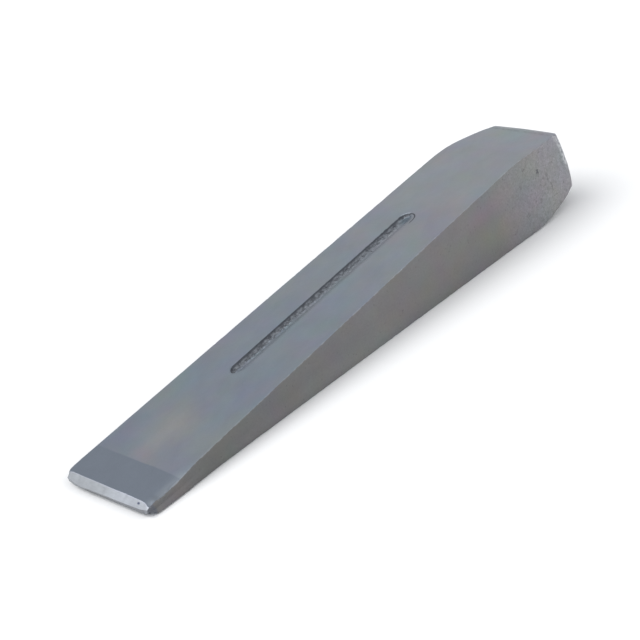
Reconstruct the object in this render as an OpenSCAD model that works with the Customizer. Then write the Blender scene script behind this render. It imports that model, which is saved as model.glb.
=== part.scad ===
// Splitting wedge: one steel forging that lies on a wide face, cutting edge towards -X

/* [Body] */
// Overall length along the wedge, from the cutting edge to the poll
length = 260; // [230:1:320]
// Width where the chamfers of the narrow sides begin
shoulder_w = 47; // [43:0.5:52]
// Thickness where the chamfers of the wide faces begin
shoulder_t = 35; // [31:0.5:42]
// Width of the flat that breaks the long edges, along each face
edge_break = 0.8; // [0.5:0.1:1.6]

/* [Cutting edge] */
// Width across the cutting edge
edge_w = 56.5; // [53:0.5:66]
// Thickness of the steel just behind the ground facets
edge_t = 4.7; // [3.6:0.1:5.6]
// Length of the two ground facets that meet in the edge
grind_len = 4; // [2.6:0.1:6]
// Distance from the edge to the back of the hardened bevel
bevel_len = 19.5; // [15:0.5:26]
// Thickness at the back of the hardened bevel
bevel_t = 6.9; // [6.4:0.1:8]
// Width that each worn corner takes off the edge
corner_w = 6; // [2:0.5:12]
// Distance that each worn corner sets back from the edge
corner_len = 1.8; // [0.8:0.1:3]

/* [Head] */
// Length of the chamfers that lead from the wide faces down to the poll
head_len = 31; // [24:0.5:40]
// Length of the chamfers that lead from the narrow sides down to the poll
head_side_len = 23; // [18:0.5:30]
// Width of the poll that the hammer strikes
poll_w = 37.5; // [33:0.5:41]
// Thickness of the poll that the hammer strikes
poll_t = 27; // [23:0.5:30]
// Height of the poll's dome along its thickness
poll_crown_t = 1; // [0.4:0.1:1.6]
// Height of the poll's dome along its width
poll_crown_w = 0.4; // [0.2:0.1:1]
// Radius that blends each chamfer into its face
shoulder_r = 100; // [40:5:130]
// Width of the break round the rim of the poll
poll_break = 1.3; // [0.6:0.1:3]

/* [Grooves] */
// Distance along the face from the cutting edge to the near end of each groove
groove_start = 73.5; // [60:0.5:90]
// Length of each groove
groove_len = 111; // [80:1:130]
// Width of each groove
groove_w = 8.8; // [6:0.1:11]
// Depth of each groove below its wide face
groove_depth = 1.5; // [0.8:0.1:2]
// Distance from the middle of the face to the middle of the groove
groove_y = 0.3; // [-4:0.1:4]

/* [Hidden] */
// Smoothness of the tool that presses the grooves
groove_sides = 64;
// Straight steps in each shoulder blend
blend_steps = 8;
// Straight steps from the flat middle of the poll's dome to its rim
dome_steps = 4;
// Straight steps in the broken long edges, from the start of the shoulders to the poll
edge_steps = 12;
// How far a cutting tool runs past the steel
clear = 5;
// Where the chamfers of the wide faces begin, along the wedge
face_shoulder_x = length - head_len;
// Where the chamfers of the narrow sides begin, along the wedge
side_shoulder_x = length - head_side_len;
// Angle between each wide face and the middle plane
face_angle = atan2((shoulder_t - bevel_t) / 2, face_shoulder_x - bevel_len);
// Height of the middle plane over the resting face, measured at the cutting edge
rest_drop = bevel_t / 2 * cos(face_angle) - bevel_len * sin(face_angle);

// Half the thickness on the head chamfer, at a distance x from the edge
function head_half_t(x) = (shoulder_t + (poll_t - shoulder_t) * (x - face_shoulder_x) / head_len) / 2;
// Half the width on the head chamfer
function head_half_w(x) = (shoulder_w + (poll_w - shoulder_w) * (x - side_shoulder_x) / head_side_len) / 2;
// Half the width of the blade
function blade_half_w(x) = (edge_w + (shoulder_w - edge_w) * x / side_shoulder_x) / 2;
// Height of a wide face over the middle plane
function face_z(x) = (bevel_t + (shoulder_t - bevel_t) * (x - bevel_len) / (face_shoulder_x - bevel_len)) / 2;
// Direction from one point to another, of length one
function toward(p, q) = (q - p) / norm(q - p);
// Arc of radius r that is tangent to both lines at the corner b, from a towards c
function blend(a, b, c, r) =
    let (
        u = toward(b, a),
        v = toward(b, c),
        half = acos(u * v) / 2,
        centre = b + toward([0, 0], u + v) * r / sin(half),
        start = b + u * r / tan(half) - centre,
        side = sign(start[0] * v[1] - start[1] * v[0]),
        sweep = side * (180 - 2 * half)
    )
    [for (i = [0:blend_steps])
        let (t = sweep * i / blend_steps)
        centre + [start[0] * cos(t) - start[1] * sin(t), start[0] * sin(t) + start[1] * cos(t)]];
// Dome of the poll, from its rim at a distance half from the axis to its flat middle
function dome(half, crown) =
    [for (i = [dome_steps:-1:1])
        [length - crown * pow((i - 1) / (dome_steps - 1), 2), half * i / dome_steps]];
// The points off the X axis, mirrored in it and in reverse order
function mirrored(points) = [for (i = [len(points) - 1:-1:0]) if (points[i][1] > 0) [points[i][0], -points[i][1]]];

// Upper half of the side outline, from the edge to the poll
bevel_back = [bevel_len, bevel_t / 2];
face_shoulder = [face_shoulder_x, shoulder_t / 2];
face_rim_x = length - poll_crown_t - poll_break;
face_rim = [face_rim_x, head_half_t(face_rim_x)];
face_blend = blend(bevel_back, face_shoulder, face_rim, shoulder_r);
side_half = concat(
    [[0, 0], [grind_len, edge_t / 2], bevel_back],
    face_blend,
    [face_rim],
    dome(poll_t / 2 - poll_break, poll_crown_t)
);
// Left half of the plan outline, from the edge to the poll
plan_corner = [corner_len, blade_half_w(corner_len)];
plan_shoulder = [side_shoulder_x, shoulder_w / 2];
plan_rim_x = length - poll_crown_w - poll_break;
plan_rim = [plan_rim_x, head_half_w(plan_rim_x)];
plan_half = concat(
    [[0, edge_w / 2 - corner_w], plan_corner],
    blend(plan_corner, plan_shoulder, plan_rim, shoulder_r),
    [plan_rim],
    dome(poll_w / 2 - poll_break, poll_crown_w)
);
// Half of the outline that breaks two opposite long edges, seen square to their flats
curve_x = face_blend[0][0];
edge_line = [
    for (x = concat(
        [grind_len + edge_break, bevel_len + edge_break],
        [for (i = [0.5:edge_steps]) curve_x + (face_rim_x - curve_x) * i / edge_steps]
    ))
        [x, (lookup(x, side_half) + lookup(x, plan_half) - edge_break) / sqrt(2)]
];
edge_last = edge_line[len(edge_line) - 1];
edge_half = concat(
    [[-clear, edge_line[0][1]]],
    edge_line,
    [edge_last + toward(edge_line[len(edge_line) - 2], edge_last) * head_len]
);

// Reach along X of the lying wedge, from the edge to the poll
lying_len = max([for (p = side_half) p[0] * cos(face_angle) + p[1] * sin(face_angle)]);

// Prism whose outline is mirrored in the middle plane, turned about the wedge's axis
module prism(half_outline, turn) {
    rotate([turn, 0, 0])
        linear_extrude(height = edge_w + 2 * clear, center = true)
            polygon(concat(half_outline, mirrored(half_outline)));
}

// Blank with every taper of the forging and its broken long edges
module blank() {
    intersection() {
        prism(side_half, 90);
        prism(plan_half, 0);
        prism(edge_half, 45);
        prism(edge_half, 135);
    }
}

// Tool that presses the groove into the upper wide face
module groove_tool() {
    r = (pow(groove_w / 2, 2) + pow(groove_depth, 2)) / (2 * groove_depth);
    straight = groove_len - groove_w;
    translate([0, groove_y, face_z(0)])
        rotate([0, -face_angle, 0])
            translate([groove_start + groove_w / 2, 0, r - groove_depth]) {
                rotate([180, -90, 0])
                    cylinder(r = r, h = straight, $fn = groove_sides);
                for (x = [0, straight])
                    translate([x, 0, 0])
                        rotate([90, 0, 0])
                            sphere(r = r, $fn = groove_sides);
            }
}

module wedge_body() {
    color([0.50, 0.53, 0.58])
        translate([-lying_len / 2, 0, rest_drop])
            rotate([0, -face_angle, 0])
                difference() {
                    blank();
                    groove_tool();
                    mirror([0, 0, 1])
                        groove_tool();
                }
}

wedge_body();
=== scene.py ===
"""Looks of a splitting wedge: one steel forging that lies on a wide face, on a plain pale floor."""

import logging
import math
from dataclasses import dataclass
from enum import Enum
from functools import reduce
from typing import NamedTuple

import bmesh
import bpy
from mathutils import Matrix, Vector, noise

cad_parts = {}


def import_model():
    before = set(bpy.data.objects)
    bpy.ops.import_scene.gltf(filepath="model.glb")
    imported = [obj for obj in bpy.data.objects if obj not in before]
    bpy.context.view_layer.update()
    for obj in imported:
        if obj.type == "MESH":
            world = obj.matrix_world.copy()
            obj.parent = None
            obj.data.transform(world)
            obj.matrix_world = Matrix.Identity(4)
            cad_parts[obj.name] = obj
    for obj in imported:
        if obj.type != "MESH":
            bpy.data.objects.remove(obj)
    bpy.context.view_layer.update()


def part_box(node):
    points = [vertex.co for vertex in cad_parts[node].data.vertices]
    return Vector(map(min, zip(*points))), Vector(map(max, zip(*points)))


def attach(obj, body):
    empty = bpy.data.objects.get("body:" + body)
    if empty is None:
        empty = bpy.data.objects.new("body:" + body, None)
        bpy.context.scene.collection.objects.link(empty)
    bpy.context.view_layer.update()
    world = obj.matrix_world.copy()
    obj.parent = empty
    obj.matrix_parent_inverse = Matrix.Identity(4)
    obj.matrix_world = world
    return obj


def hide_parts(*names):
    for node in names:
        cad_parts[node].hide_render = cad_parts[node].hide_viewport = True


LOG = logging.getLogger("wedge")
NODE = "wedge_body"
BODY = "root"
SLOT = "forged_steel"
PIECE = "wedge_forging"
MM = 0.001

Colour = tuple[float, float, float]
Place = tuple[float, float, float]
Span = tuple[float, float]
Stops = tuple[tuple[float, Colour], ...]
Keys = tuple[tuple[float, float], ...]
Socket = bpy.types.NodeSocket
Value = Socket | float
Paint = Socket | Colour

EVEN: Place = (1.0, 1.0, 1.0)


class Mark(Enum):
    """What the mesh carries to its finish: distances in millimetres, and shares from -1 to 1."""

    APEX = "from_apex"
    GRIND = "from_grind"
    BEVEL = "from_bevel"
    GROOVE = "from_groove"
    TURNED = "turned"
    WORN = "worn"
    LEVEL = "level"


class Axis(Enum):
    """Ways through the wedge that its finish reads, in millimetres, or as a share of its length."""

    ALONG = "along"
    ACROSS = "across"
    UP = "up"
    SHARE = "share"


def soft_min(first: float, second: float, reach: float) -> float:
    """Lower of two values, rounded off where they differ by less than reach."""
    near = max(reach - abs(first - second), 0.0)
    return min(first, second) - near * near / (4.0 * reach)


def smooth_step(low: float, high: float, value: float) -> float:
    """Share of the rise from 0 at low to 1 at high, level at both ends."""
    share = min(max((value - low) / (high - low), 0.0), 1.0)
    return share * share * (3.0 - 2.0 * share)


def along_keys(keys: Keys, share: float) -> float:
    """Read a value off a broken line.

    Args:
        keys: Points of the line as (share, value), in rising order of share.
        share: Where to read it.

    Returns:
        The value there.
    """
    for (low, start), (high, end) in zip(keys, keys[1:]):
        if share <= high:
            return start + (end - start) * (share - low) / (high - low)
    return keys[-1][1]


def placed(name: str, data: bpy.types.ID) -> bpy.types.Object:
    """Add an object to the scene.

    Args:
        name: Name of the object.
        data: Mesh, light or camera that it shows.

    Returns:
        The object, at the origin.
    """
    made = bpy.data.objects.new(name, data)
    bpy.context.scene.collection.objects.link(made)
    return made


@dataclass(frozen=True)
class Ripple:
    """Smooth random pattern: its height, waves for each millimetre along each axis, and its shift."""

    height: float
    scale: Place
    shift: Place = (0.0, 0.0, 0.0)

    def place(self, *at: float) -> Vector:
        """Where the pattern is read for a point."""
        return Vector([value * scale + shift for value, scale, shift in zip(at, self.scale, self.shift)])

    def at(self, *at: float) -> float:
        """Height at a point, up or down."""
        return self.height * noise.noise(self.place(*at))

    def above(self, *at: float) -> float:
        """Height at a point, from 0 up."""
        return 0.5 * (self.height + self.at(*at))


@dataclass(frozen=True)
class Groove:
    """Groove rolled into a wide face. Lengths in millimetres, from the cutting edge."""

    start: float = 73.5
    end: float = 184.3
    width: float = 8.8
    middle: float = 0.6
    depth: float = 1.5
    lean: float = 0.35
    steep_wall: float = 1.0
    easy_wall: float = 5.2
    steep_side: Span = (-0.5, 0.4)
    least_reach: float = 0.1
    torn: Ripple = Ripple(0.16, (0.5, 1, 0.2))
    frayed: Ripple = Ripple(0.096, (1.7, 1, 0.5), (0, 5, 0))
    grain: Ripple = Ripple(0.34, (0.75, 0.85, 1), (0, 0, 3))
    grain_octaves: tuple[float, float, int] = (0.7, 2.0, 4)
    grain_side: Span = (-0.6, 1.2)
    grain_start: Span = (0.2, 1.2)
    lumps: Ripple = Ripple(0.16, (0.8, 0.8, 1), (0, 0, 9))
    lump_floor: float = 0.024
    lump_start: Span = (0, 0.9)
    lump_end: Span = (2, 1)

    def rim(self, x: float, y: float, seed: float) -> tuple[float, float, float]:
        """Place of a point against the groove's rim.

        Args:
            x: Distance from the cutting edge.
            y: Distance from the middle of the face.
            seed: Shift of the torn pattern.

        Returns:
            Distance outside the rim, negative inside, the distance across from the groove's middle, and how
            steep the wall is there, 0 to 1.
        """
        half = self.width / 2
        past = max(self.start + half - x, 0.0)
        over = max(x - self.end + half, 0.0)
        across = y - self.middle
        torn = self.torn.at(x, seed, across) + self.frayed.at(x, seed, across)
        reach = math.hypot(past + over, across)
        facing = across / max(reach, self.least_reach)
        return reach - half + torn, across, smooth_step(*self.steep_side, facing)

    def drop(self, x: float, y: float, seed: float) -> float:
        """Depth of the groove at a point, and of the small dents beside it.

        Args:
            x: Distance from the cutting edge.
            y: Distance from the middle of the face.
            seed: Shift of the torn pattern.

        Returns:
            Depth below the face, in millimetres.
        """
        outside, across, steep = self.rim(x, y, seed)
        if outside > 0.0:
            lumps = max(self.lumps.at(x, y, seed) - self.lump_floor, 0.0)
            beside = smooth_step(*self.lump_end, outside) * smooth_step(*self.lump_start, outside)
            return lumps * steep * beside
        wall = self.easy_wall + (self.steep_wall - self.easy_wall) * steep
        level = 1.0 - self.lean * (0.5 - across / self.width)
        depth = self.depth * level * smooth_step(0.0, wall, -outside)
        grain = self.grain.height * noise.fractal(self.grain.place(x, y, seed), *self.grain_octaves)
        grain *= smooth_step(*self.grain_side, across) * smooth_step(*self.grain_start, -outside)
        return depth + grain


@dataclass(frozen=True)
class Wear:
    """Unevenness that forging, grinding and handling leave. Depths in millimetres."""

    waves: Ripple = Ripple(0.07, (0.035, 0.035, 0.035))
    blows: Ripple = Ripple(0.06, (0.16, 0.16, 0.16), (9, 0, 0))
    least_blow: float = 0.3
    peels: Ripple = Ripple(0.07, (0.5, 0.5, 0.5))
    coarse_nicks: Ripple = Ripple(0.40, (0.11, 1, 0.2))
    fine_nicks: Ripple = Ripple(0.48, (0.5, 1, 0.4), (0, 40, 0))
    nick_floor: float = 0.3
    pit: float = 0.30
    pit_pitch: float = 0.28
    pit_size: Span = (0.30, 0.08)
    pitted: Ripple = Ripple(1, (0.05, 0.05, 0.05), (3, 3, 3))
    pitted_from: Span = (0, 0.3)
    side: Span = (0.3, 0.8)
    edge: Span = (0.15, 0.5)
    head: Span = (209, 250)
    off_groove: Span = (0.5, 7)
    at_groove: float = 0.3

    def nicks(self, p: Vector) -> float:
        """Depth of the dents that handling leaves along an edge."""
        nicks = (self.coarse_nicks, self.fine_nicks)
        return sum(max(ripple.at(*p) - ripple.height * self.nick_floor, 0.0) for ripple in nicks)

    def pits(self, p: Vector) -> float:
        """Depth of the small pits where scale has broken out."""
        depth = self.pit * smooth_step(*self.pit_size, noise.voronoi(p * self.pit_pitch)[0][0])
        return depth * smooth_step(*self.pitted_from, self.pitted.at(*p))

    def inwards(self, p: Vector, n: Vector, outside: float) -> float:
        """How far wear has taken the surface down at a point.

        Args:
            p: Place on the wedge.
            n: Way that the surface faces there.
            outside: Distance outside the groove's rim.

        Returns:
            The depth, which is less beside the groove.
        """
        side = smooth_step(*self.side, abs(n.y))
        edge = smooth_step(*self.edge, abs(n.y)) * smooth_step(*self.edge, abs(n.z))
        head = smooth_step(*self.head, p.x)
        depth = self.waves.above(*p) + (self.least_blow + side) * self.blows.above(*p)
        depth += side * head * self.peels.above(*p) + self.nicks(p) * edge
        depth += self.pits(p) * head * side
        return depth * (self.at_groove + (1.0 - self.at_groove) * smooth_step(*self.off_groove, outside))


@dataclass(frozen=True)
class Roll:
    """Edge that is rolled or worn off, from the distance start to end. Lengths in millimetres."""

    depth: float
    width: float
    power: float = 2.0
    start: Span = (-1, 0)
    end: Span = (300, 299)

    def at(self, past: float, x: float = 0.0) -> float:
        """Depth at x along the wedge and a distance past the edge, negative on the near side of it."""
        depth = self.depth * (max(past + self.width, 0.0) / self.width) ** self.power
        return depth * smooth_step(*self.start, x) * smooth_step(*self.end, x)


class TipCorner(NamedTuple):
    """Worn corner of the cutting edge. Lengths in millimetres."""

    back: Roll
    narrow: float
    round_over: float


@dataclass
class Forging:
    """The wedge's one steel forging. Lengths in millimetres, x from the cutting edge to the poll."""

    length: float = 260.0
    edge_width: float = 56.5
    edge_thickness: float = 4.7
    land: float = 0.8
    edge_lean: float = 0.0186
    edge_back: float = 0.4
    grind_length: float = 4.0
    least_facet: float = 0.36
    bevel_length: float = 19.5
    bevel_thickness: float = 6.9
    wobble: Ripple = Ripple(0.16, (0.13, 2, 1), (0, 0, 1.7))
    jitter: Ripple = Ripple(0.08, (0.6, 2, 1), (0, 0, 7.7))
    bevel_wobble: float = 2.0
    face_shoulder: float = 229.0
    side_shoulder: float = 237.0
    shoulder_width: float = 47.0
    shoulder_thickness: float = 35.0
    poll_width: float = 37.5
    poll_thickness: float = 27.0
    poll_round: float = 1.7
    poll_soft: float = 0.8
    poll_soft_length: float = 8.0
    crown_up: float = 1.0
    crown_across: float = 0.4
    crown_length: float = 12.0
    blend_radius: float = 100.0
    blend_fit: float = 2.2
    edge_round: float = 0.6
    most_round: float = 0.42
    round_start: Span = (0.3, 2)
    corner_end: Span = (26, 8)
    corner_level: Span = (-0.5, 0.5)
    narrow_end: Span = (5.2, 1.5)
    bow: float = 0.35
    belly: float = 0.3
    belly_start: Span = (0, 40)
    upper: Span = (-0.2, 0.8)
    lower: Span = (0.4, -0.8)
    spread: float = 1.2
    spread_start: Span = (2, 5.5)
    spread_end: Span = (40, 14)
    head_spread: float = 0.7
    head_spread_start: Span = (205, 250)
    left_rolls: tuple[Roll, ...] = (Roll(0.22, 4, end=(8, 3.5)),)
    right_rolls: tuple[Roll, ...] = (
        Roll(0.42, 7, 4, end=(8, 3.5)), Roll(0.5, 6, 1.8, (5, 9), (32, 16)),
    )
    undercut: Roll = Roll(0.9, 5, end=(5.5, 1))
    left: TipCorner = TipCorner(Roll(1.3, 14.5), narrow=2, round_over=-0.2)
    right: TipCorner = TipCorner(Roll(0.6, 3.5), narrow=0, round_over=1)
    block_round: float = 1.5
    block_steps: int = 4
    block_slack: float = 2.2
    crease: float = 0.12
    rows: tuple[int, ...] = (9, 2, 22, 2, 40, 186, 60)
    columns: int = 78
    side_rows: int = 30
    groove: Groove = Groove()
    groove_rows: Span = (2, 3)
    groove_reach: float = 2.0
    upper_seed: float = 2.0
    lower_seed: float = 31.0
    face_share: float = 0.8
    off_face: float = 9.0
    wear: Wear = Wear()

    @property
    def face_slope(self) -> float:
        """Rise of a wide face for each millimetre along the wedge."""
        rise = (self.shoulder_thickness - self.bevel_thickness) / 2
        return rise / (self.face_shoulder - self.bevel_length)

    @property
    def facet_slope(self) -> float:
        """Rise of a ground facet for each millimetre along the wedge."""
        return (self.edge_thickness - self.land) / 2 / self.grind_length

    @property
    def bevel_slope(self) -> float:
        """Rise of the hardened bevel for each millimetre along the wedge."""
        rise = (self.bevel_thickness - self.edge_thickness) / 2
        return rise / (self.bevel_length - self.grind_length)

    @property
    def block_size(self) -> Place:
        """Size of the block that the wedge is worked from."""
        return self.length, self.edge_width, self.shoulder_thickness

    @property
    def lying(self) -> Matrix:
        """Lay the wedge on its lower wide face.

        Returns:
            The turn and shift that do it, from millimetres to metres.
        """
        low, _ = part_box(NODE)
        turn = math.atan(self.face_slope)
        lift = self.bevel_thickness / 2 * math.cos(turn) - self.bevel_length * math.sin(turn)
        place = Matrix.Translation((low.x, 0.0, lift * MM))
        return place @ Matrix.Rotation(-turn, 4, "Y") @ Matrix.Scale(MM, 4)

    def blended(self, blade: float, head: float, turn: float) -> float:
        """Lower of the blade's and the head's taper, with an arc where they turn into each other."""
        return soft_min(blade, head, self.blend_radius * turn * turn / self.blend_fit)

    def half_width(self, x: float) -> float:
        """Half the width of the wedge.

        Args:
            x: Distance from the edge.

        Returns:
            Half the width there.
        """
        taper = (self.shoulder_width - self.edge_width) / 2 / self.side_shoulder
        head = (self.poll_width - self.shoulder_width) / 2 / (self.length - self.side_shoulder)
        past = x - self.side_shoulder
        middle = self.shoulder_width / 2
        return self.blended(middle + taper * past, middle + head * past, taper - head)

    def half_thickness(self, x: float, bevel: float) -> float:
        """Height of a wide face or of the bevel over the middle plane.

        Args:
            x: Distance from the edge.
            bevel: Distance of the bevel's back from the edge there.

        Returns:
            Half the thickness, as if nothing were ground off the edge.
        """
        slope = self.face_slope
        face = self.bevel_thickness / 2 + slope * (x - self.bevel_length)
        if x <= bevel:
            at_bevel = self.bevel_thickness / 2 + slope * (bevel - self.bevel_length)
            return at_bevel + self.bevel_slope * (x - bevel)
        head = (self.poll_thickness - self.shoulder_thickness) / 2 / (self.length - self.face_shoulder)
        chamfer = self.shoulder_thickness / 2 + head * (x - self.face_shoulder)
        return self.blended(face, chamfer, slope - head)

    def bend(self, x: float) -> float:
        """How far the forging is bowed sideways at a distance from the edge."""
        return self.bow * (1.0 - (2.0 * x / self.length - 1.0) ** 2)

    def block(self) -> bmesh.types.BMesh:
        """Rounded block with a fine grid on every side, which the tapers are worked into.

        Returns:
            The block, centred on the origin.
        """
        bm = bmesh.new()
        bmesh.ops.create_cube(bm, size=1.0)
        bmesh.ops.scale(bm, vec=self.block_size, verts=bm.verts)
        bmesh.ops.bevel(
            bm, geom=bm.edges[:], offset=self.block_round, offset_type="OFFSET",
            segments=self.block_steps, profile=0.5, affect="EDGES", material=-1,
        )
        for axis, pieces in enumerate((sum(self.rows), self.columns, self.side_rows)):
            long = self.block_size[axis] - self.block_slack * self.block_round
            edges = [e for e in bm.edges if abs((e.verts[0].co - e.verts[1].co)[axis]) > long]
            bmesh.ops.subdivide_edges(bm, edges=edges, cuts=pieces - 1, use_grid_fill=True)
        return bm

    def shares(self, co: Vector) -> list[Span]:
        """Place of a point of the block along, across and up it.

        Args:
            co: Point of the block.

        Returns:
            For each way its share of the flat and its share of the round, -1 to 1.
        """
        shares = []
        for value, size in zip(co, self.block_size):
            flat = size / 2 - self.block_round
            into = math.copysign(max(abs(value) - flat, 0.0) / self.block_round, value)
            shares.append((min(max(value / flat, -1.0), 1.0), into))
        return shares

    def crowd(self, share: float) -> float:
        """Draw the grid's columns together round the groove.

        Args:
            share: Even share across the face, -1 to 1.

        Returns:
            The share to place it at.
        """
        near, spread, pull = 0.02, 0.22, 0.68

        def drawn(at: float) -> float:
            """Place of a column before both ends are set to -1 and 1."""
            return at - pull * spread * math.sqrt(math.pi) / 2 * math.erf((at - near) / spread)

        low, high = drawn(-1.0), drawn(1.0)
        return -1.0 + 2.0 * (drawn(share) - low) / (high - low)

    def rolled(self, x: float, y: float) -> float:
        """How far the hammered front corners roll off below the upper face."""
        rolls = self.left_rolls if y > 0.0 else self.right_rolls
        return max(roll.at(abs(y) - self.edge_width / 2, x) for roll in rolls)

    def spread_out(self, x: float) -> float:
        """How far hammering has spread the lower part of the right side, at the tip and at the head."""
        tip = smooth_step(*self.spread_start, x) * smooth_step(*self.spread_end, x)
        return self.spread * max(tip, self.head_spread * smooth_step(*self.head_spread_start, x))

    def stations(self, cap: float, grind: float, bevel: float) -> Keys:
        """Where the spacing of the grid's rows changes along one of its columns.

        Args:
            cap: Distance at which the steel starts there.
            grind: Distance of the back of the ground facet.
            bevel: Distance of the back of the hardened bevel.

        Returns:
            Share of the rows and distance from the edge of each change.
        """
        total = sum(self.rows)
        marks = [sum(self.rows[:i]) / total for i in range(len(self.rows) + 1)]
        before, after = self.groove_rows
        stops = (
            cap + self.crease, grind - self.crease, grind + self.crease, bevel - self.crease,
            bevel + self.crease, self.groove.start - before, self.groove.end + after,
            self.length - self.poll_round,
        )
        return tuple(zip(marks, stops))

    def work(self, co: Vector) -> tuple[Vector, dict[Mark, float]]:
        """Place of one point of the block on the finished wedge.

        Args:
            co: Point of the block.

        Returns:
            The place on the wedge, and the distances that its finish reads.
        """
        (along, end), (across, side), (up, top) = self.shares(co)
        crowded = self.crowd(across)
        half = self.edge_width / 2
        y_edge = crowded * half
        level = up if top == 0.0 else math.copysign(1.0, top)
        upper = smooth_step(*self.upper, level)
        wobble = self.wobble.at(y_edge, level, 0.0) + self.jitter.at(y_edge, level, 0.0)
        corner = self.left if y_edge > 0 else self.right
        cap = max(self.edge_back - self.edge_lean * y_edge, 0.0) + corner.back.at(abs(y_edge) - half)
        facet_over_bevel = self.facet_slope - self.bevel_slope
        grind = self.grind_length + wobble - upper * self.rolled(0.0, y_edge) / facet_over_bevel
        grind = max(grind, cap + self.least_facet)
        bevel = self.bevel_length + self.bevel_wobble * wobble
        x = along_keys(self.stations(cap, grind, bevel), (along + 1) / 2)
        x += end * (self.crease if end < 0 else self.poll_round)
        facet = self.land / 2 + self.facet_slope * (x - wobble)
        thick = min(facet, self.half_thickness(x, bevel) - upper * self.rolled(x, y_edge))
        thick *= 1.0 - self.undercut.at(-y_edge - half, x) * smooth_step(*self.lower, level)
        wide = self.half_width(x) - corner.narrow * smooth_step(*self.narrow_end, x)
        near_tip = smooth_step(*self.corner_end, x) * smooth_step(*self.corner_level, level)
        round_y = self.edge_round + corner.round_over * near_tip
        round_y += self.poll_soft * smooth_step(self.length - self.poll_soft_length, self.length, x)
        round_z = min(round_y, self.most_round * thick) - self.crease
        round_z = self.crease + round_z * smooth_step(*self.round_start, x - cap)
        y = crowded * (wide - round_y) + side * round_y
        z = up * (thick - round_z) + top * round_z
        y += self.belly * side * (1.0 - up ** 2) * smooth_step(*self.belly_start, x)
        y -= self.spread_out(x) * max(-side, 0.0) * math.sqrt(max(-level, 0.0))
        y += self.bend(x)
        crown = self.crown_up * level ** 2 + self.crown_across * crowded ** 2
        if end <= 0:
            crown *= smooth_step(self.length - self.crown_length, self.length - self.poll_round, x)
        x -= crown
        turned = max(abs(side), abs(end)) - abs(top)
        worn = 2.0 * max(abs(side * top), abs(side * end), abs(end * top))
        marks_here = {
            Mark.APEX: x - cap, Mark.GRIND: x - grind, Mark.BEVEL: x - bevel,
            Mark.TURNED: turned, Mark.WORN: worn, Mark.LEVEL: level,
        }
        return Vector((x, y, z)), marks_here

    def press_groove(self, bm: bmesh.types.BMesh) -> dict[int, float]:
        """Press a groove into each wide face.

        Args:
            bm: The worked block, in millimetres.

        Returns:
            Distance of each vertex outside its groove's rim.
        """
        outside = {}
        for v in bm.verts:
            seed = self.upper_seed if v.co.z > 0 else self.lower_seed
            y = v.co.y - self.bend(v.co.x)
            apart, _, _ = self.groove.rim(v.co.x, y, seed)
            face = abs(v.co.z) > self.face_share * self.half_thickness(v.co.x, 0.0)
            outside[v.index] = apart if face else self.off_face
            if face and apart < self.groove_reach:
                v.co.z -= math.copysign(self.groove.drop(v.co.x, y, seed), v.co.z)
        return outside

    def weather(self, bm: bmesh.types.BMesh, outside: dict[int, float]) -> None:
        """Give the surface its hammered, nicked and pitted unevenness, always inwards.

        Args:
            bm: The worked block, in millimetres.
            outside: Distance of each vertex outside its groove's rim.
        """
        bm.normal_update()
        moves = [(v, v.normal * self.wear.inwards(v.co, v.normal, outside[v.index])) for v in bm.verts]
        for v, move in moves:
            v.co -= move

    def build(self) -> bpy.types.Object:
        """Make the forging's mesh and its object.

        Returns:
            The wedge, lying in its place.
        """
        bm = self.block()
        layers = {mark: bm.verts.layers.float.new(mark.value) for mark in Mark}
        for v in bm.verts:
            v.co, marks = self.work(v.co.copy())
            for mark, value in marks.items():
                v[layers[mark]] = value
        bm.verts.index_update()
        outside = self.press_groove(bm)
        for v in bm.verts:
            v[layers[Mark.GROOVE]] = outside[v.index]
        self.weather(bm, outside)
        bmesh.ops.transform(bm, matrix=self.lying, verts=bm.verts)
        floor = min(v.co.z for v in bm.verts)
        bmesh.ops.translate(bm, vec=(0.0, 0.0, -floor), verts=bm.verts)
        for face in bm.faces:
            face.smooth = True
        mesh = bpy.data.meshes.new(PIECE)
        bm.to_mesh(mesh)
        bm.free()
        return placed(PIECE, mesh)


class Rise(NamedTuple):
    """Smooth rise of a mask, from 0 at low to 1 at high."""

    source: Axis | Mark
    low: float
    high: float


Rises = tuple[Rise, ...]


class Cloud(NamedTuple):
    """Cloudy pattern, or with cells the distance to scattered points. Its scale is for a millimetre."""

    scale: float
    detail: float = 4.0
    rough: float = 0.55
    warp: float = 0.0
    stretch: Place = EVEN
    cells: bool = False


class Spots(NamedTuple):
    """Spots where a pattern goes from low to high."""

    cloud: Cloud
    low: float
    high: float


class Patch(NamedTuple):
    """Soft patch of another colour. Middle and reach along, across and up the wedge, in millimetres."""

    factor: Colour
    middle: Place
    reach: Place
    strength: float = 1.0


Patches = tuple[Patch, ...]


class Layer(NamedTuple):
    """One zone's colour, roughness, height and share of metal, as sockets or numbers."""

    colour: Socket
    roughness: Socket
    height: Socket
    metal: Value


TINT_DRIFT = Cloud(0.07, 3, 0.5)
TINT_REACH: Place = (16.0, 10.0, 4.0)
TINT_HUE: Colour = (0.30, 0.24, 0.30)


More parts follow.
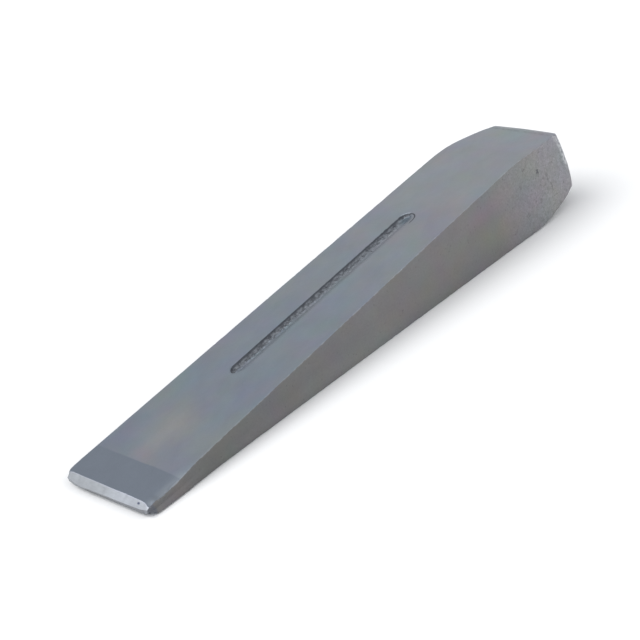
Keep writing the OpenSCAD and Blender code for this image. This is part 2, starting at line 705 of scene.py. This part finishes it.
class Graph:
    """Nodes of one material, made and joined by short calls."""

    def __init__(self, name: str) -> None:
        """Start an empty material.

        Args:
            name: Name of the material.
        """
        self.material = bpy.data.materials.new(name)
        self.material.use_nodes = True
        self.nodes = self.material.node_tree.nodes
        self.links = self.material.node_tree.links
        self.nodes.clear()

    def node(self, kind: str, inputs: dict[str | int, object], **settings: object) -> bpy.types.Node:
        """Add a node.

        Args:
            kind: Type of the node.
            inputs: Sockets or values for its inputs, by name or number. A colour has three numbers.
            settings: Properties to set on it.

        Returns:
            The node.
        """
        made = self.nodes.new(kind)
        for name, value in settings.items():
            setattr(made, name, value)
        for name, value in inputs.items():
            socket = made.inputs[name]
            if isinstance(value, Socket):
                self.links.new(value, socket)
            else:
                socket.default_value = (*value, 1.0) if socket.type == "RGBA" else value
        return made

    def math(self, operation: str, *values: Value, clamp: bool = False) -> Socket:
        """Work out a number from others, kept from 0 to 1 if clamp is set."""
        made = self.node("ShaderNodeMath", dict(enumerate(values)), operation=operation, use_clamp=clamp)
        return made.outputs[0]

    def product(self, *values: Value) -> Value:
        """Multiply numbers together."""
        return reduce(lambda first, second: self.math("MULTIPLY", first, second), values)

    def total(self, *values: Value) -> Value:
        """Add numbers together."""
        return reduce(lambda first, second: self.math("ADD", first, second), values)

    def less(self, value: Value, taken: Value) -> Socket:
        """Take one number from another."""
        return self.math("SUBTRACT", value, taken)

    def most(self, *values: Value) -> Value:
        """Highest of some numbers."""
        return reduce(lambda first, second: self.math("MAXIMUM", first, second), values)

    def vector(self, operation: str, *values: Socket | Place, output: int = 0) -> Socket:
        """Work out a vector from others, or a number with output 1."""
        made = self.node("ShaderNodeVectorMath", dict(enumerate(values)), operation=operation)
        return made.outputs[output]

    def step(self, value: Value, low: float, high: float) -> Socket:
        """Smooth rise from 0 at low to 1 at high."""
        ends = {"Value": value, "From Min": low, "From Max": high}
        return self.node("ShaderNodeMapRange", ends, interpolation_type="SMOOTHSTEP").outputs["Result"]

    def between(self, value: Value, low: float, high: float) -> Socket:
        """Number from low to high as the value goes from 0 to 1."""
        ends = {"Value": value, "To Min": low, "To Max": high}
        return self.node("ShaderNodeMapRange", ends, clamp=False).outputs["Result"]

    def sway(self, value: Value, reach: float) -> Socket:
        """Number from -reach to reach as the value goes from 0 to 1."""
        return self.between(value, -reach, reach)

    def mix(self, share: Value, first: Value, second: Value) -> Socket:
        """Number between two others. The Mix node's inputs share their names, so they go by number."""
        return self.node("ShaderNodeMix", {0: share, 2: first, 3: second}, data_type="FLOAT").outputs[0]

    def tint(self, share: Value, first: Paint, second: Paint, mode: str = "MIX") -> Socket:
        """Mix two colours, with as much of the second one as share says."""
        made = self.node("ShaderNodeMix", {0: share, 6: first, 7: second}, data_type="RGBA", blend_type=mode)
        return made.outputs[2]

    def shade(self, colour: Socket, factor: Value) -> Socket:
        """Multiply a colour by a number."""
        return self.node("ShaderNodeVectorMath", {0: colour, "Scale": factor}, operation="SCALE").outputs[0]

    def ramp(self, value: Value, stops: Stops) -> Socket:
        """Colour read off a strip of colours.

        Args:
            value: Where to read it, 0 to 1.
            stops: Places and colours of the strip.

        Returns:
            The colour.
        """
        made = self.node("ShaderNodeValToRGB", {"Fac": value})
        strip = made.color_ramp.elements
        while len(strip) < len(stops):
            strip.new(0.5)
        for element, (at, colour) in zip(strip, stops):
            element.position = at
            element.color = (*colour, 1.0)
        return made.outputs["Color"]

    def surface(self, inputs: dict[str | int, object]) -> None:
        """Join one shader to the material's output."""
        shader = self.node("ShaderNodeBsdfPrincipled", inputs)
        self.node("ShaderNodeOutputMaterial", {"Surface": shader.outputs["BSDF"]})


class WedgeGraph(Graph):
    """Nodes that read places on the wedge, in millimetres from the middle of its cutting edge."""

    def __init__(self, name: str, forging: Forging) -> None:
        """Start the material and lay out the wedge's own axes.

        Args:
            name: Name of the material.
            forging: The piece that wears it.
        """
        super().__init__(name)
        shift, turn, scale = forging.lying.inverted().decompose()
        axes = {
            "Vector": self.node("ShaderNodeTexCoord", {}).outputs["Object"],
            "Location": shift, "Rotation": turn.to_euler(), "Scale": scale,
        }
        self.place = self.node("ShaderNodeMapping", axes, vector_type="POINT").outputs["Vector"]
        along, across, up = self.node("ShaderNodeSeparateXYZ", {0: self.place}).outputs
        share = self.math("DIVIDE", along, forging.length)
        self.ways = {Axis.ALONG: along, Axis.ACROSS: across, Axis.UP: up, Axis.SHARE: share}
        for mark in Mark:
            self.ways[mark] = self.node("ShaderNodeAttribute", {}, attribute_name=mark.value).outputs["Fac"]

    def mask(self, *rises: Rise) -> Value:
        """Product of smooth rises."""
        return self.product(*[self.step(self.ways[source], low, high) for source, low, high in rises])

    def cloud(self, cloud: Cloud, output: str = "Fac") -> Socket:
        """Read a pattern.

        Args:
            cloud: The pattern.
            output: Fac for one number, or Color for three.

        Returns:
            The pattern, about 0.5 on average, or the distance to its points.
        """
        inputs = {"Vector": self.place, "Scale": cloud.scale}
        if cloud.cells:
            return self.node("ShaderNodeTexVoronoi", inputs, feature="F1").outputs["Distance"]
        if cloud.stretch != EVEN:
            inputs["Vector"] = self.vector("MULTIPLY", self.place, cloud.stretch)
        inputs.update({"Detail": cloud.detail, "Roughness": cloud.rough, "Distortion": cloud.warp})
        return self.node("ShaderNodeTexNoise", inputs).outputs[output]

    def drift(self, cloud: Cloud) -> Socket:
        """Three random numbers from -0.5 to 0.5."""
        return self.vector("SUBTRACT", self.cloud(cloud, "Color"), (0.5, 0.5, 0.5))

    def pulled(self, drift: Socket, reach: Place) -> Socket:
        """Place on the wedge, pulled about by a drift."""
        return self.vector("ADD", self.place, self.vector("MULTIPLY", drift, reach))

    def spots(self, spots: Spots) -> Socket:
        """Mask of a pattern's spots."""
        return self.step(self.cloud(spots.cloud), spots.low, spots.high)

    def patch(self, patch: Patch, where: Socket) -> Socket:
        """Soft mask of a patch.

        Args:
            patch: The patch.
            where: Place that it reads, such as one that is pulled about.

        Returns:
            The patch's strength in its middle, falling to 0 at its reach.
        """
        apart = self.vector("DIVIDE", self.vector("SUBTRACT", where, patch.middle), patch.reach)
        near = self.step(self.vector("LENGTH", apart, output=1), 1.0, 0.0)
        return self.math("MULTIPLY", near, patch.strength, clamp=True)

    def stain(self, colour: Paint, patches: Patches, where: Socket) -> Paint:
        """Multiply a colour by patches that are laid out where a place says."""
        masks = [(self.patch(patch, where), patch.factor) for patch in patches]
        return reduce(lambda under, mask: self.tint(mask[0], under, mask[1], "MULTIPLY"), masks, colour)

    def tinted(self, lengthwise: Stops, patches: Patches) -> Socket:
        """Colour that changes along the wedge, with patches and a hue that drift at random.

        Args:
            lengthwise: The colour along the wedge.
            patches: The patches.

        Returns:
            The colour.
        """
        drift = self.drift(TINT_DRIFT)
        colour = self.ramp(self.ways[Axis.SHARE], lengthwise)
        colour = self.stain(colour, patches, self.pulled(drift, TINT_REACH))
        return self.vector("MULTIPLY", colour, self.vector("MULTIPLY_ADD", drift, TINT_HUE, EVEN))


@dataclass(frozen=True)
class WideFace:
    """Smooth blue-grey heat tint of the wide faces, with painted reflection, highlight and shade laid over
    it.
    """

    # Darker and bluer at the tip, lighter at the head: heat tint, and partly a painted reflection gradient
    # along the face.
    lengthwise: Stops = (
        (0.05, (0.228, 0.254, 0.302)), (0.16, (0.248, 0.276, 0.306)), (0.24, (0.240, 0.268, 0.304)),
        (0.45, (0.252, 0.283, 0.322)), (0.75, (0.304, 0.320, 0.345)), (0.95, (0.340, 0.356, 0.378)),
    )
    patches: Patches = (
        Patch((1.07, 0.95, 1.01), (12, 15, 3), (10, 7, 9)),
        Patch((0.90, 0.91, 0.97), (27, 22, 4), (20, 12, 9)),
        Patch((1.22, 1.11, 1.02), (37, 2, 4), (24, 15, 9)),
        Patch((0.95, 0.98, 1.04), (64, -16, 6), (30, 12, 9)),
        Patch((1.06, 1.01, 0.99), (86, 2, 8), (18, 9, 9), 0.6),
        Patch((0.97, 1.01, 1.03), (122, -14, 10), (34, 14, 9)),
        Patch((1.08, 1.03, 0.99), (198, -12, 15), (22, 16, 9)),
        Patch((0.98, 0.98, 1.05), (240, 0, 16), (12, 26, 9)),
        Patch((0.95, 1.01, 0.99), (254, 4, 15), (10, 22, 9)),
    )
    bevel: Rise = Rise(Mark.BEVEL, 0.25, -0.25)
    band: Colour = (0.194, 0.222, 0.266)
    # Painted light: a lighter strip is a painted highlight on the rolled right edge near the tip, and a
    # darker patch is painted shade at the groove's end towards the poll.
    painted_highlight_and_shade: Patches = (
        Patch((1.22, 1.19, 1.13), (12, -26.5, 2.5), (17, 3.4, 5)),
        Patch((0.62, 0.69, 0.72), (181, 1.2, 12.5), (5, 4.4, 4), 2),
    )
    cloud: Cloud = Cloud(0.16, 4, 0.6, 0.5, (0.7, 1, 1))
    cloud_tone: float = 0.07
    fine: Cloud = Cloud(1.7, 5, 0.65)
    fine_tone: float = 0.07
    fine_height: float = 0.025
    specks: Spots = Spots(Cloud(0.35, cells=True), 0.10, 0.02)
    speck_tone: float = 0.08
    speck_depth: float = 0.03
    smear: Cloud = Cloud(0.5, 5, 0.6)
    smear_sway: float = 0.09
    roughness: float = 0.44
    band_roughness: float = 0.42
    metal: float = 0.85

    def layer(self, g: WedgeGraph) -> Layer:
        """Lay the finish out in a material.

        Args:
            g: The material's nodes.

        Returns:
            The zone's sockets.
        """
        band = g.mask(self.bevel)
        colour = g.tint(band, g.tinted(self.lengthwise, self.patches), self.band)
        # Lays the painted highlight and painted shade patches over the face's colour.
        colour = g.stain(colour, self.painted_highlight_and_shade, g.place)
        fine = g.cloud(self.fine)
        speck = g.spots(self.specks)
        cloud = g.between(g.cloud(self.cloud), 1.0 - self.cloud_tone, 1.0 + self.cloud_tone)
        tone = g.less(g.total(cloud, g.sway(fine, self.fine_tone)), g.product(speck, self.speck_tone))
        smear = g.sway(g.cloud(self.smear), self.smear_sway)
        roughness = g.total(g.mix(band, self.roughness, self.band_roughness), smear)
        height = g.less(g.product(fine, self.fine_height), g.product(speck, self.speck_depth))
        return Layer(g.shade(colour, tone), roughness, height, self.metal)


@dataclass(frozen=True)
class ForgedSide:
    """Rough dark scale of the narrow sides and of the poll, with painted light and shade laid over it. Spans
    go from the blade to the head.
    """

    # Lighter towards the head: the head's own finish, and partly painted light on its side chamfer, which
    # turns towards the light.
    lengthwise: Stops = (
        (0.02, (0.130, 0.132, 0.138)), (0.13, (0.112, 0.113, 0.115)), (0.50, (0.145, 0.144, 0.145)),
        (0.78, (0.160, 0.158, 0.159)), (0.91, (0.213, 0.214, 0.222)), (1.00, (0.228, 0.232, 0.245)),
    )
    patches: Patches = (
        Patch((1.05, 0.97, 0.94), (16, -28, 0), (20, 9, 8)),
        Patch((1.14, 0.99, 1.06), (204, -24, 8), (24, 9, 7)),
        Patch((1.04, 1.04, 0.92), (207, -24, -5), (20, 9, 9)),
        Patch((1.07, 0.98, 1.06), (228, -22, -2), (16, 9, 9)),
        Patch((1.03, 1.01, 0.95), (150, -24, -4), (34, 9, 8)),
    )
    # Painted shade: a dark bluish patch on the right side's front corner at the tip, standing in for a dark
    # reflection there.
    front: Patches = (Patch((0.68, 0.76, 0.90), (2.6, -28.4, 0), (3.4, 3, 4.2), 3),)
    marks: Patches = (
        Patch((0.40, 0.40, 0.44), (237, -23, 6.6), (1.1, 9, 2.1), 1.6),
        Patch((0.62, 0.60, 0.62), (229.4, -23, 12.1), (1.2, 9, 1), 1.4),
        Patch((0.70, 0.70, 0.72), (242, -23, 0.8), (0.9, 9, 3.4), 1.4),
        Patch((0.66, 0.66, 0.68), (242.9, -23, -4.2), (0.8, 9, 3.4), 1.4),
        Patch((0.72, 0.72, 0.72), (239.5, -23, 2), (1, 9, 1.3), 1.4),
        Patch((0.76, 0.76, 0.76), (224.6, -23, 6), (1, 9, 2), 1.4),
        Patch((0.76, 0.76, 0.76), (233.5, -23, -5.5), (1.6, 9, 1.1), 1.4),
        Patch((0.76, 0.76, 0.76), (224.2, -23, -7.4), (1.8, 9, 1), 1.4),
        Patch((0.72, 0.72, 0.72), (143.3, -26, -3.8), (0.9, 9, 1), 1.6),
    )
    mark_drift: Cloud = Cloud(0.9, 2, 0.5)
    mark_reach: Place = (3.0, 0.0, 3.0)
    head: Rise = Rise(Axis.SHARE, 0.76, 0.92)
    grain: Cloud = Cloud(1.2, 8, 0.72)
    grain_tone: Span = (0.55, 1)
    grain_sway: float = 0.1
    grain_height: float = 0.9
    blotch: Cloud = Cloud(0.13, 4, 0.6, 0.4)
    blotch_tone: float = 0.06
    patchy: Spots = Spots(Cloud(0.22, 3, 0.6), 0.42, 0.58)
    pits: Spots = Spots(Cloud(0.42, cells=True), 0.22, 0.10)
    pit_tone: Span = (0.14, 0.28)
    relief: Span = (0.07, 0.14)
    worms: Cloud = Cloud(0.55, 5, 0.72, 1.2)
    worm_tone: float = 1.1
    worm_height: float = 0.22
    glints: Spots = Spots(Cloud(1, 3, 0.6), 0.58, 0.70)
    glint_tone: float = 0.22
    # Painted light: the lower part of the side is painted up to lift times lighter along the blade and near
    # the head, standing in for light that the floor's shadow takes away there.
    blade_painted_fill: Rises = (Rise(Axis.ALONG, 25, 50), Rise(Axis.ALONG, 160, 120))
    head_painted_fill: Rise = Rise(Axis.ALONG, 225, 240)
    head_painted_fill_share: float = 0.35
    low_side: Rise = Rise(Mark.LEVEL, 0.2, -0.8)
    lift: float = 1.2
    roughness: float = 0.60
    metal: float = 0.25

    def layer(self, g: WedgeGraph) -> Layer:
        """Lay the finish out in a material.

        Args:
            g: The material's nodes.

        Returns:
            The zone's sockets.
        """
        # The patch on the tip's corner is painted shade.
        colour = g.stain(g.tinted(self.lengthwise, self.patches), self.front, g.place)
        colour = g.stain(colour, self.marks, g.pulled(g.drift(self.mark_drift), self.mark_reach))
        grain = g.cloud(self.grain)
        worms = g.cloud(self.worms)
        head = g.mask(self.head)
        pits = g.product(g.spots(self.pits), g.spots(self.patchy))
        tone = g.total(
            1.0,
            g.product(g.less(grain, 0.5), g.mix(head, *self.grain_tone)),
            g.product(g.less(worms, 0.5), head, self.worm_tone),
            g.product(g.spots(self.glints), head, self.glint_tone),
            g.sway(g.cloud(self.blotch), self.blotch_tone),
        )
        tone = g.less(tone, g.product(pits, g.mix(head, *self.pit_tone)))
        # Painted light: lighter towards the lower edge of the side, where the floor's shadow falls.
        lift = g.most(g.mask(*self.blade_painted_fill), g.product(g.mask(self.head_painted_fill), self.head_painted_fill_share))
        tone = g.product(tone, g.between(g.product(lift, g.mask(self.low_side)), 1.0, self.lift))
        height = g.product(g.less(g.product(grain, self.grain_height), pits), g.mix(head, *self.relief))
        height = g.total(height, g.product(worms, head, self.worm_height))
        roughness = g.total(self.roughness, g.sway(grain, self.grain_sway))
        return Layer(g.shade(colour, tone), roughness, height, self.metal)


@dataclass(frozen=True)
class GroundEdge:
    """Bright bare steel of the hand-ground cutting edge, duller on its blunt front."""

    bright: Colour = (0.378, 0.400, 0.436)
    dull: Colour = (0.318, 0.334, 0.366)
    blunt: Colour = (0.24, 0.25, 0.27)
    rim: Colour = (0.40, 0.42, 0.48)
    lines: Cloud = Cloud(1.2, 5, 0.7, stretch=(3, 0.25, 3))
    blur: Cloud = Cloud(0.25, 2)
    line_share: float = 0.5
    streaks: Span = (0.35, 0.65)
    rim_line: Rise = Rise(Mark.GRIND, -0.5, -0.1)
    blunt_front: Rises = (
        Rise(Mark.APEX, 0.28, 0.12), Rise(Axis.ACROSS, 16, 10), Rise(Axis.ACROSS, -26.8, -25.5),
    )
    worn: Patches = (
        Patch((0.88, 0.88, 0.86), (2, 14, 1), (8, 26, 6), 1.6),
        Patch((0.82, 0.81, 0.78), (2.4, 27.8, 0.3), (3, 1.9, 3), 1.5),
        Patch((0.22, 0.24, 0.34), (2.8, -21.2, 1.7), (0.7, 1.2, 0.8), 1.5),
    )
    roughness: float = 0.38
    line_roughness: float = 0.15
    line_height: float = 0.04
    metal: float = 0.9

    def layer(self, g: WedgeGraph) -> Layer:
        """Lay the finish out in a material.

        Args:
            g: The material's nodes.

        Returns:
            The zone's sockets.
        """
        lines = g.cloud(self.lines)
        blur = g.product(g.cloud(self.blur), 1.0 - self.line_share)
        streaks = g.step(g.total(g.product(lines, self.line_share), blur), *self.streaks)
        colour = g.tint(streaks, self.dull, self.bright)
        colour = g.tint(g.mask(self.rim_line), colour, self.rim)
        colour = g.tint(g.mask(*self.blunt_front), colour, self.blunt)
        colour = g.stain(colour, self.worn, g.place)
        roughness = g.total(self.roughness, g.product(lines, self.line_roughness))
        return Layer(colour, roughness, g.product(lines, self.line_height), self.metal)


@dataclass(frozen=True)
class GrooveFloor:
    """Dark colour against one wall of the grooves: broken scale that is left there, and partly painted
    shade, as that wall turns away from the light. Lengths in millimetres.
    """

    # The dark rim line is partly painted shadow under the far wall's rim.
    rim: Colour = (0.050, 0.056, 0.068)
    mottle: Stops = (
        (0.40, (0.080, 0.087, 0.100)), (0.50, (0.150, 0.162, 0.182)), (0.60, (0.232, 0.250, 0.277)),
    )
    grain: Cloud = Cloud(0.75, 6, 0.7, stretch=(0.8, 1, 1))
    grain_sway: float = 0.1
    grain_height: float = 0.12
    wall: Rises = (Rise(Mark.GROOVE, -1.6, -1.1), Rise(Axis.ACROSS, 1, 3))
    wall_tone: float = 0.92
    line: Rise = Rise(Mark.GROOVE, -0.75, -0.40)
    line_share: float = 0.85
    inside: Rise = Rise(Mark.GROOVE, 0.10, -0.15)
    tear: Cloud = Cloud(0.8, 4, 0.7, stretch=(1, 0.8, 1))
    tear_reach: float = 4.6
    broad: Span = (1.5, 2.1)
    broad_end: Span = (-4, -8)
    end_line: Rise = Rise(Mark.GROOVE, -1, -0.6)
    end_line_start: Span = (-8, -5)
    side_line: Rise = Rise(Mark.GROOVE, -1.2, -0.8)
    side_line_start: Span = (0, 1.5)
    roughness: float = 0.55
    metal: float = 0.6

    def layer(self, g: WedgeGraph) -> Layer:
        """Lay the finish out in a material.

        Args:
            g: The material's nodes.

        Returns:
            The zone's sockets.
        """
        grain = g.cloud(self.grain)
        colour = g.shade(g.ramp(grain, self.mottle), g.between(g.mask(*self.wall), 1.0, self.wall_tone))
        colour = g.tint(g.product(g.mask(self.line), self.line_share), colour, self.rim)
        roughness = g.total(self.roughness, g.sway(grain, self.grain_sway))
        return Layer(colour, roughness, g.product(grain, self.grain_height), self.metal)

    def mask(self, g: WedgeGraph, groove: Groove) -> Value:
        """Where the dark scale and the painted shade are laid.

        Args:
            g: The material's nodes.
            groove: The groove's sizes.

        Returns:
            The mask, 0 to 1.
        """
        across = g.less(g.ways[Axis.ACROSS], groove.middle)
        past_end = g.less(g.ways[Axis.ALONG], groove.end)
        torn = g.total(across, g.sway(g.cloud(self.tear), self.tear_reach))
        broad = g.product(g.step(torn, *self.broad), g.step(past_end, *self.broad_end))
        end_line = g.product(g.mask(self.end_line), g.step(past_end, *self.end_line_start))
        side_line = g.product(g.mask(self.side_line), g.step(across, *self.side_line_start))
        return g.product(g.mask(self.inside), g.most(broad, end_line, side_line))


@dataclass(frozen=True)
class Steel:
    """The forging's whole finish: its zones, laid one over the other."""

    face: WideFace = WideFace()
    side: ForgedSide = ForgedSide()
    edge: GroundEdge = GroundEdge()
    groove: GrooveFloor = GrooveFloor()
    ragged: Cloud = Cloud(0.8, 4, 0.7)
    ragged_reach: float = 0.3
    beaten: Rises = (
        Rise(Axis.ALONG, 6.5, 9.5), Rise(Axis.ALONG, 27, 19),
        Rise(Axis.ACROSS, -18, -22), Rise(Mark.LEVEL, 0, 0.3),
    )
    beaten_back: float = 0.3
    turned: Span = (-0.15, 0.15)
    # Lighter colour on the rounded long edges: partly bare steel that wear has rubbed bright, partly a
    # painted highlight along their rounding.
    worn: Colour = (0.34, 0.36, 0.39)
    worn_and_highlit_edge: Rise = Rise(Mark.WORN, 0.3, 0.8)
    worn_and_highlit_share: float = 0.36
    specks: Spots = Spots(Cloud(0.7, 4, 0.6, stretch=(0.5, 1, 1)), 0.44, 0.60)
    poll: Rise = Rise(Axis.SHARE, 0.965, 0.985)
    beside_rim: Rises = (
        Rise(Axis.ALONG, 253.8, 254.6), Rise(Axis.ALONG, 256.2, 255.4), Rise(Axis.UP, -8, 0),
    )
    beside_tone: float = 0.78
    # Lighter mottled rim of the poll: partly steel that blows have chipped bright, partly a painted
    # highlight on the rim's rounding.
    chipped_and_highlit: Colour = (0.50, 0.51, 0.53)
    chips: Spots = Spots(Cloud(0.9, 4, 0.7), 0.42, 0.58)
    chipped_strip: Rises = (Rise(Axis.ALONG, 255.8, 257), Rise(Axis.UP, -5, 0))
    chipped_edge: Rise = Rise(Mark.WORN, 0.10, 0.35)
    chipped_dome: Span = (0.8, 0.15)
    knocked: Patch = Patch((1, 1, 1), (257.5, -18.5, 11), (4.5, 5, 7), 2)
    hammered: Colour = (0.33, 0.345, 0.37)
    dome: Rise = Rise(Axis.ALONG, 258.5, 259.1)
    blows: Spots = Spots(Cloud(0.28, 4, 0.6, 0.6), 0.36, 0.62)
    blow_share: Span = (0.3, 0.85)
    facet: Rises = (Rise(Mark.GRIND, 0.06, -0.06), Rise(Mark.TURNED, 0.2, -0.2))
    blunt: Rises = (Rise(Mark.APEX, 0.28, 0.18), Rise(Axis.ACROSS, -27.6, -27.1))

    def over(self, g: Graph, share: Value, low: Layer, high: Layer) -> Layer:
        """Lay one zone over another, as far as share says."""
        numbers = [g.mix(share, *pair) for pair in zip(low[1:], high[1:])]
        return Layer(g.tint(share, low.colour, high.colour), *numbers)

    def struck(self, g: WedgeGraph, colour: Socket) -> Socket:
        """Brighten the long edges by wear and a painted highlight, chip the poll's rim, partly as a painted
        highlight, and hammer its dome.

        Args:
            g: The material's nodes.
            colour: The colour before.

        Returns:
            The colour after.
        """
        poll = g.mask(self.poll)
        chips = g.spots(self.chips)
        # Wear and painted highlight on the long edges, left off at the poll.
        rim = g.product(g.mask(self.worn_and_highlit_edge), g.spots(self.specks), g.mix(poll, self.worn_and_highlit_share, 0.0))
        colour = g.tint(rim, colour, self.worn)
        beside = g.product(g.mask(*self.beside_rim), chips)
        colour = g.shade(colour, g.between(beside, 1.0, self.beside_tone))
        knocked = g.patch(self.knocked, g.place)
        struck = g.most(g.mask(*self.chipped_strip), g.mask(self.chipped_edge), knocked)
        dome = g.mask(self.dome)
        # Chipped rim of the poll, partly painted highlight.
        chipped_and_highlit = g.product(struck, chips, poll, g.between(dome, *self.chipped_dome))
        colour = g.tint(chipped_and_highlit, colour, self.chipped_and_highlit)
        blows = g.product(dome, g.between(g.spots(self.blows), *self.blow_share))
        return g.tint(blows, colour, self.hammered)

    def build(self, forging: Forging) -> bpy.types.Material:
        """Make the material.

        Args:
            forging: The piece that wears it.

        Returns:
            The finished material.
        """
        g = WedgeGraph(SLOT, forging)
        ragged = g.sway(g.cloud(self.ragged), self.ragged_reach)
        beaten = g.product(g.mask(*self.beaten), self.beaten_back)
        turned = g.less(g.total(g.ways[Mark.TURNED], ragged), beaten)
        zone = self.over(g, g.step(turned, *self.turned), self.face.layer(g), self.side.layer(g))
        zone = zone._replace(colour=self.struck(g, zone.colour))
        zone = self.over(g, self.groove.mask(g, forging.groove), zone, self.groove.layer(g))
        ground = g.most(g.mask(*self.facet), g.mask(*self.blunt))
        zone = self.over(g, ground, zone, self.edge.layer(g))
        bump = g.node("ShaderNodeBump", {"Strength": 1.0, "Distance": MM, "Height": zone.height})
        g.surface({
            "Metallic": zone.metal, "Base Color": zone.colour,
            "Roughness": zone.roughness, "Normal": bump.outputs["Normal"],
        })
        return g.material


class Lamp(NamedTuple):
    """Far light: its strength, how wide it looks in degrees, and the way it shines."""

    name: str
    strength: float
    angle: float
    way: Place


@dataclass
class Studio:
    """Pale floor, soft light and the camera."""

    floor_size: float = 30.0
    floor_colour: Colour = (0.92, 0.92, 0.92)
    floor_roughness: float = 0.9
    floor_shine: float = 0.1
    sky: Colour = (0.95, 0.97, 1.0)
    sky_strength: float = 0.66
    key: Lamp = Lamp("key", 1.65, 50.0, (0.45, -0.35, -0.82))
    fill: Lamp = Lamp("fill", 1.05, 60.0, (-0.45, 0.85, -0.40))
    eye: Place = (-0.38847, -0.55933, 0.34169)
    look: Place = (0.50397, 0.74408, -0.43859)
    roll: float = -18.17
    lens: float = 102.81
    sensor: float = 36.0
    nearest: float = 0.05
    farthest: float = 100.0

    def floor(self) -> None:
        """Lay the floor that the wedge rests on."""
        bm = bmesh.new()
        bmesh.ops.create_grid(bm, x_segments=1, y_segments=1, size=self.floor_size / 2)
        mesh = bpy.data.meshes.new("floor")
        bm.to_mesh(mesh)
        bm.free()
        g = Graph("pale_floor")
        g.surface({
            "Base Color": self.floor_colour, "Roughness": self.floor_roughness,
            "Specular IOR Level": self.floor_shine,
        })
        mesh.materials.append(g.material)
        placed("floor", mesh)

    def lights(self) -> None:
        """Set the key light over the tip, the fill light beside the camera and the soft light all round."""
        for lamp in (self.key, self.fill):
            light = bpy.data.lights.new(lamp.name, "SUN")
            light.energy = lamp.strength
            light.angle = math.radians(lamp.angle)
            holder = placed(lamp.name, light)
            holder.rotation_euler = Vector(lamp.way).to_track_quat("-Z", "Y").to_euler()
        world = bpy.data.worlds.new("studio")
        world.use_nodes = True
        back = world.node_tree.nodes["Background"]
        back.inputs["Color"].default_value = (*self.sky, 1.0)
        back.inputs["Strength"].default_value = self.sky_strength
        bpy.context.scene.world = world

    def camera(self) -> None:
        """Set the camera where the photograph was taken from."""
        data = bpy.data.cameras.new("camera")
        data.lens = self.lens
        data.sensor_width = self.sensor
        data.clip_start = self.nearest
        data.clip_end = self.farthest
        made = placed("camera", data)
        aim = Vector(self.look).to_track_quat("-Z", "Y").to_matrix().to_4x4()
        turn = Matrix.Rotation(math.radians(self.roll), 4, "Z")
        made.matrix_world = Matrix.Translation(self.eye) @ aim @ turn
        bpy.context.scene.camera = made

    def build(self) -> None:
        """Set up the camera, the floor, the lights and the view's plain colours."""
        self.camera()
        self.floor()
        self.lights()
        bpy.context.scene.view_settings.view_transform = "Standard"


def main() -> None:
    """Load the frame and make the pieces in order."""
    logging.basicConfig(level=logging.INFO, format="%(message)s")
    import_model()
    Studio().build()
    forging = Forging()
    wedge = forging.build()
    wedge.data.materials.append(Steel().build(forging))
    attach(wedge, BODY)
    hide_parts(NODE)
    triangles = sum(len(polygon.vertices) - 2 for polygon in wedge.data.polygons)
    LOG.info("%s: %d triangles", wedge.name, triangles)


if __name__ == "__main__":
    main()
